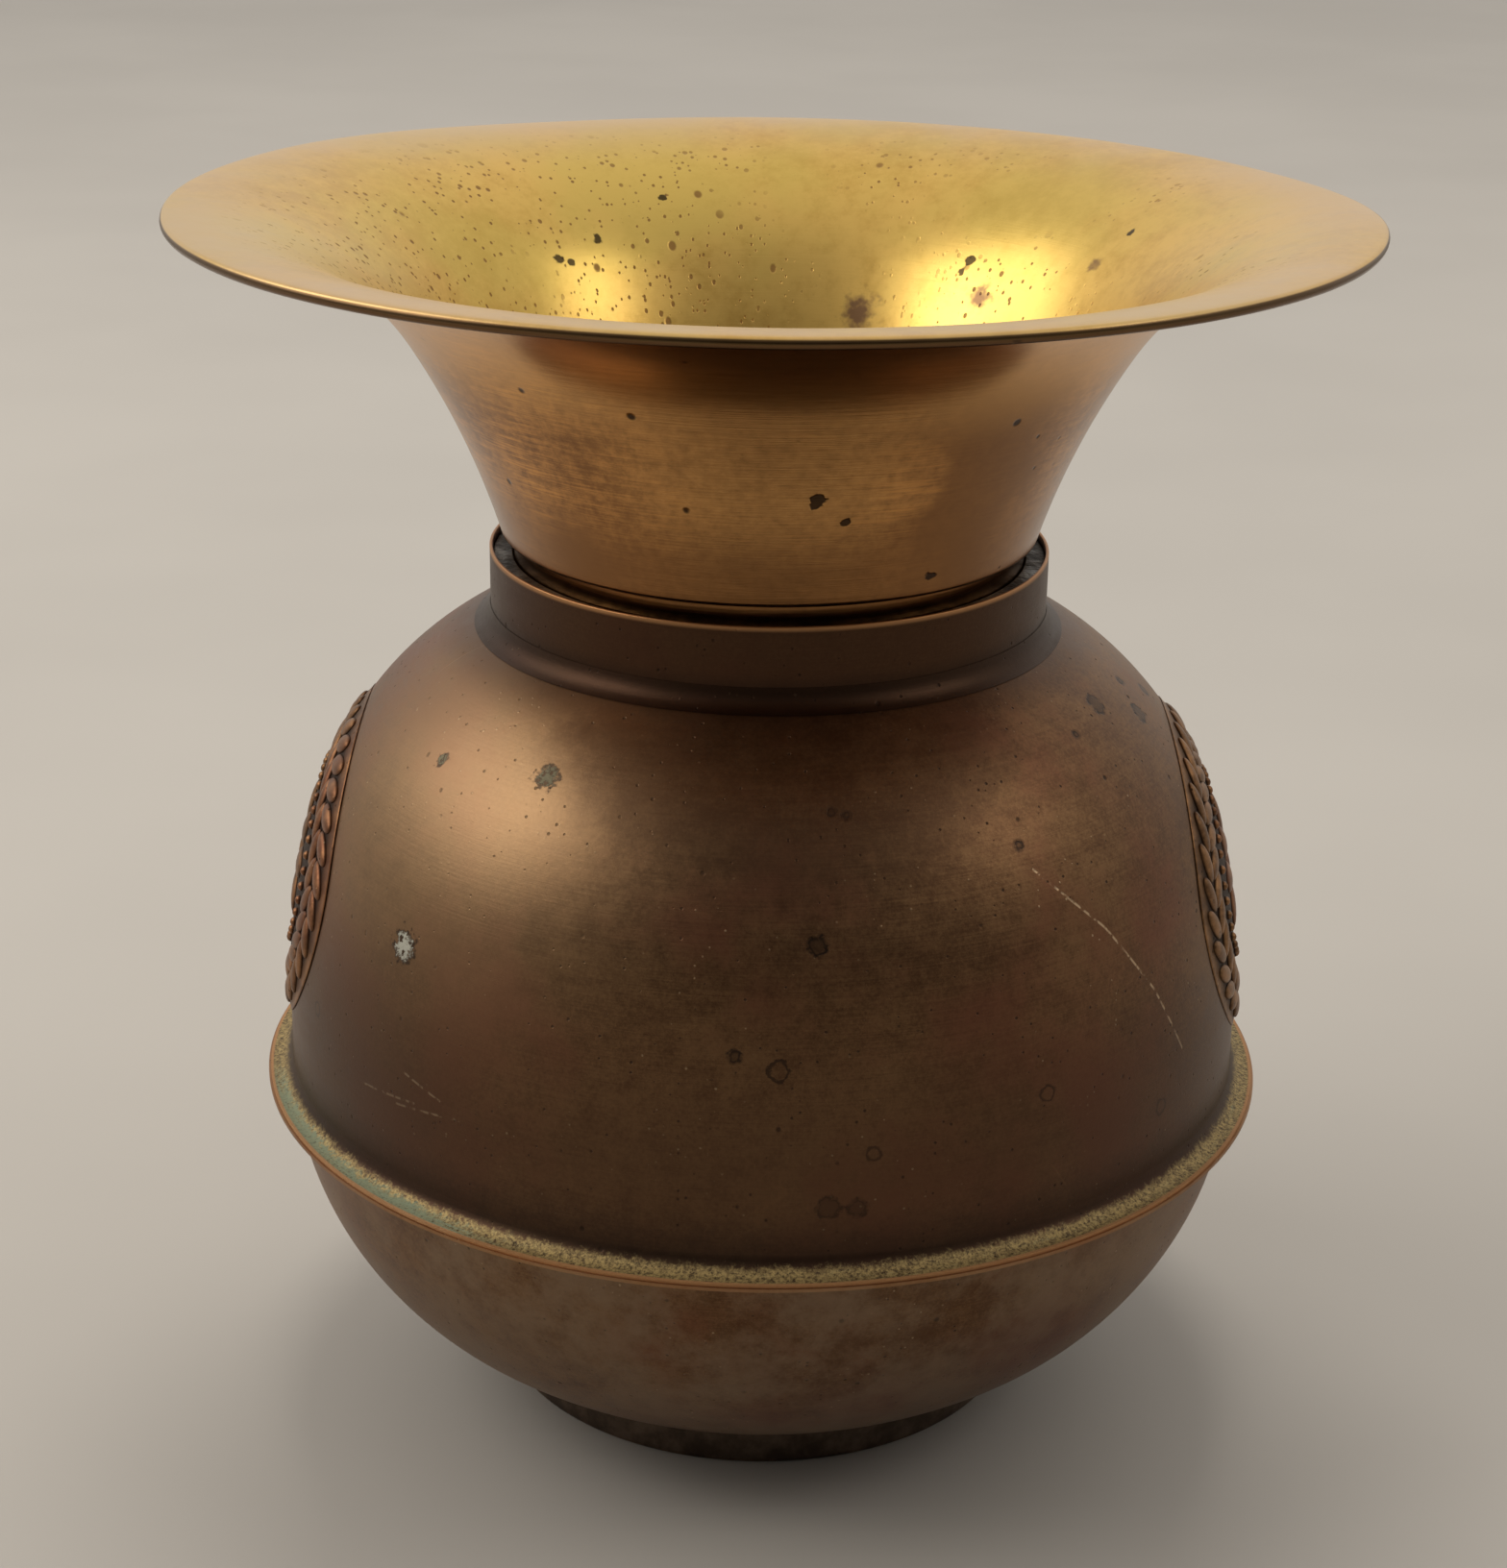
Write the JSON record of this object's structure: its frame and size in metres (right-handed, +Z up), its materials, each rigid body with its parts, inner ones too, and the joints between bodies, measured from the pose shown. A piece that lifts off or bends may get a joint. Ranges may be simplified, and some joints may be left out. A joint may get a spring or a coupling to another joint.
{
  "type": "brass spittoon",
  "caption": "Aged brass spittoon: round belly on a low foot, raised belt seam, collar, oval side badges and a wide flared funnel that lifts out of the collar.",
  "frame": {"origin": "centre of the foot's underside, on the surface that it stands on", "axes": "+Z up along the axis of the vessel and the funnel, +X through the right badge, -Y towards the picture's camera"},
  "size_m": [0.25, 0.25, 0.2656],
  "materials": {
    "mouth_brass": "worn golden brass with dark specks",
    "body_brass": "dark brown patina, satin",
    "badge_brass": "stamped relief, dark in the hollows",
    "foot_brass": "nearly black patina",
    "tinned_brass": "patinated solder run",
    "solder": "dull grey solder",
    "iron_wire": "drawn wire",
    "iron": "rough casting"
  },
  "bodies": {
    "vessel": {"upper_shell": "body_brass", "lower_bowl": "body_brass", "collar": "body_brass", "guide_ring": "solder", "collar_solder": "tinned_brass", "belt_solder": "solder", "badge_left": "badge_brass", "badge_right": "badge_brass", "foot_ring": "foot_brass", "base_plate": "foot_brass", "ballast": "iron"},
    "funnel": {"funnel": "mouth_brass", "rim_wire": "iron_wire"}
  },
  "joints": [
    {"name": "funnel_lift", "type": "slide", "parent": "vessel", "child": "funnel", "axis": [0, 0, 1], "range_m": [0, 0.12]}
  ]
}
